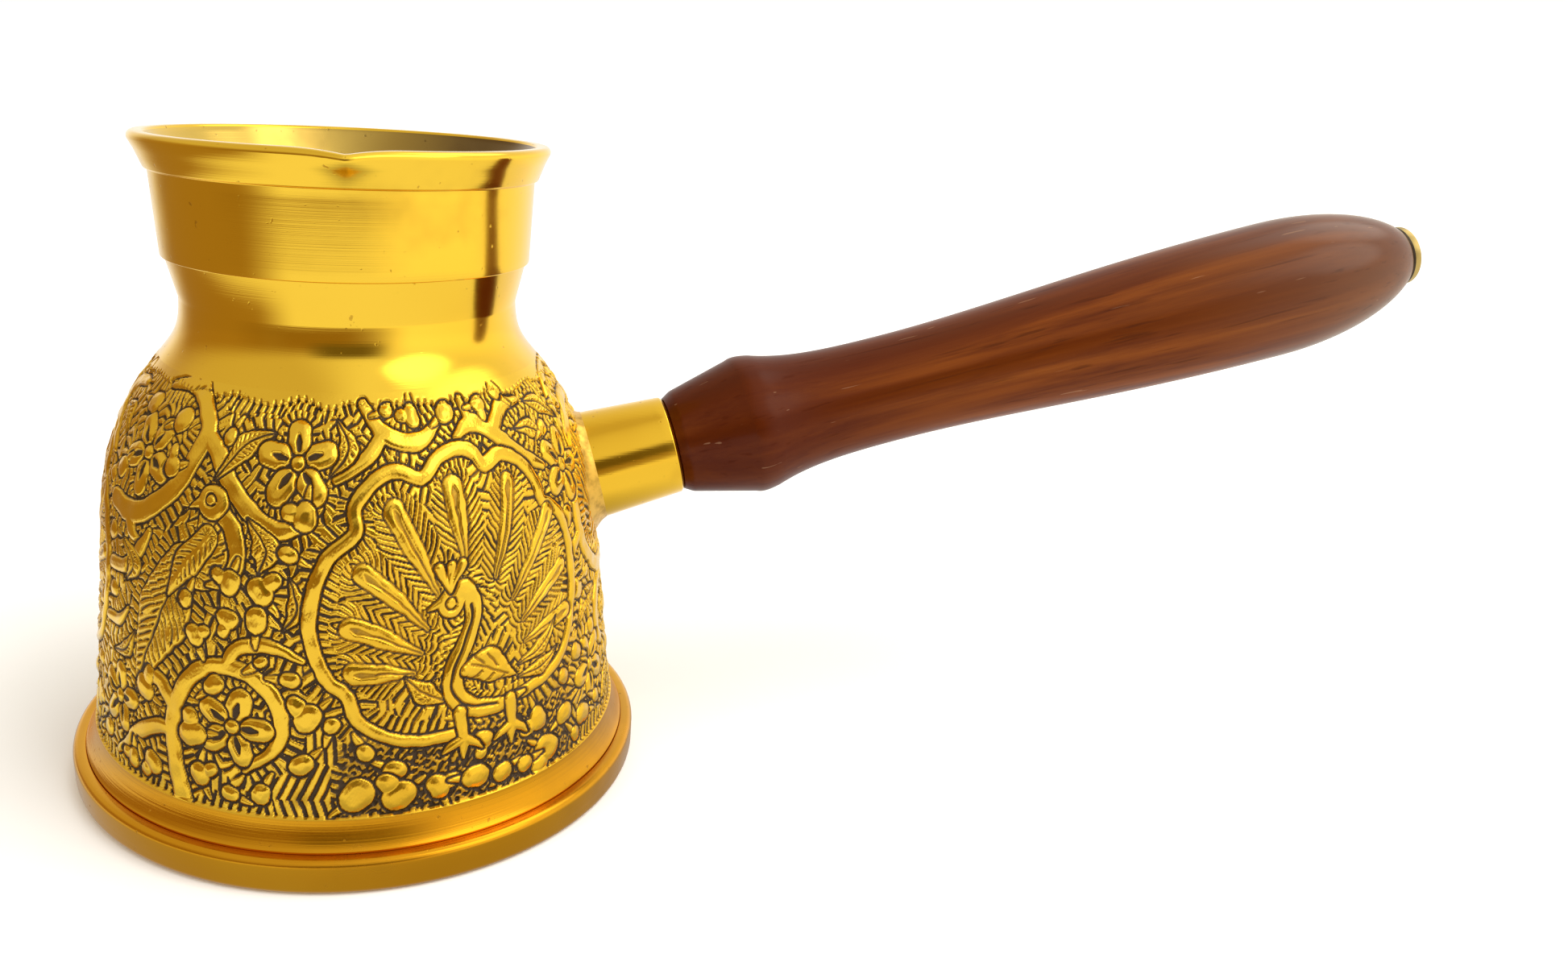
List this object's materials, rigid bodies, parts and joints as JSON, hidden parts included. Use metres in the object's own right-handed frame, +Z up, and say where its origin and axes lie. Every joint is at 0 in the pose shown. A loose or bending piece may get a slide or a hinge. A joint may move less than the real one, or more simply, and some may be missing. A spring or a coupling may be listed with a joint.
{
  "type": "turkish coffee pot",
  "caption": "Waisted cast brass coffee pot with an engraved belly, a flared rim with a pouring lip and a long turned wooden handle.",
  "frame": {"origin": "centre of the base plate's underside, on the pot's axis", "axes": "+X towards the handle's free end, +Z up along the pot's axis, -Y towards the pouring lip"},
  "size_m": [0.2172, 0.0888, 0.095],
  "materials": {
    "engraved_brass": "polished raised ornament over a dark patinated ground",
    "polished_brass": "polished",
    "aged_brass": "tarnished",
    "braze": "as run, brushed",
    "solder": "dull solder",
    "rod_steel": "rolled thread",
    "dark_washer": "blackened",
    "varnished_wood": "stained and varnished"
  },
  "bodies": {
    "root": {"pot_body": "engraved_brass", "base_plate": "polished_brass", "base_solder_fillet": "solder", "handle_socket": "polished_brass", "socket_braze_fillet": "braze", "wooden_grip": "varnished_wood", "tie_rod": "rod_steel", "end_washer": "dark_washer", "end_cap_nut": "aged_brass"}
  },
  "joints": []
}
